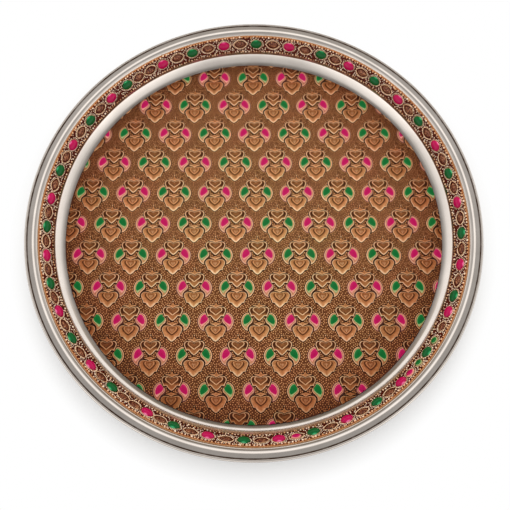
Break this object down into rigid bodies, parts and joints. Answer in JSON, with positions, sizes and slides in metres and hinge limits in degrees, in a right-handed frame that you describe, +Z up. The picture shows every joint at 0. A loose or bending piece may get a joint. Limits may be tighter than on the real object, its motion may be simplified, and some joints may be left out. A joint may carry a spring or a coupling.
{
  "type": "thali plate",
  "caption": "Round steel dining plate with a sloping wall, a rolled rim, an embossed floor sheet with enamelled leaves, and a border of enamel drops in gold wire.",
  "frame": {"origin": "centre of the flat underside that the plate rests on", "axes": "+Z up along the plate's axis, +Y towards the far side of the picture, +X to its right"},
  "size_m": [0.3, 0.3, 0.0211],
  "materials": {
    "polished_steel": "mirror polished stainless steel",
    "struck_gold": "die-struck gold-toned sheet, dark in its hollows",
    "stamped_gold": "stamped gold-toned pieces, bright on their edges",
    "enamel_pink": "pink enamel, glossy",
    "enamel_green": "green enamel, glossy",
    "dark_strip": "dark antiqued brass strip",
    "gold_grain": "gold-toned grains",
    "gold_wire": "gold-toned wire",
    "dull_ruby": "dull ruby-brown stone",
    "drop_pink": "pink enamel drop, glossy",
    "drop_green": "green enamel drop, glossy"
  },
  "bodies": {
    "root": {"steel_dish": "polished_steel", "floor_sheet": "struck_gold", "crown_hearts": "stamped_gold", "root_hearts": "stamped_gold", "heart_wings": "stamped_gold", "leaf_cups": "stamped_gold", "leaf_enamel_pink": "enamel_pink", "leaf_enamel_green": "enamel_green", "border_strip": "dark_strip", "outer_bead_row": "gold_grain", "inner_bead_row": "gold_grain", "wire_ovals": "gold_wire", "oval_stones": "dull_ruby", "oval_fills_pink": "enamel_pink", "oval_fills_green": "enamel_green", "drop_collars": "gold_wire", "pink_drops": "drop_pink", "green_drops": "drop_green"}
  },
  "joints": []
}
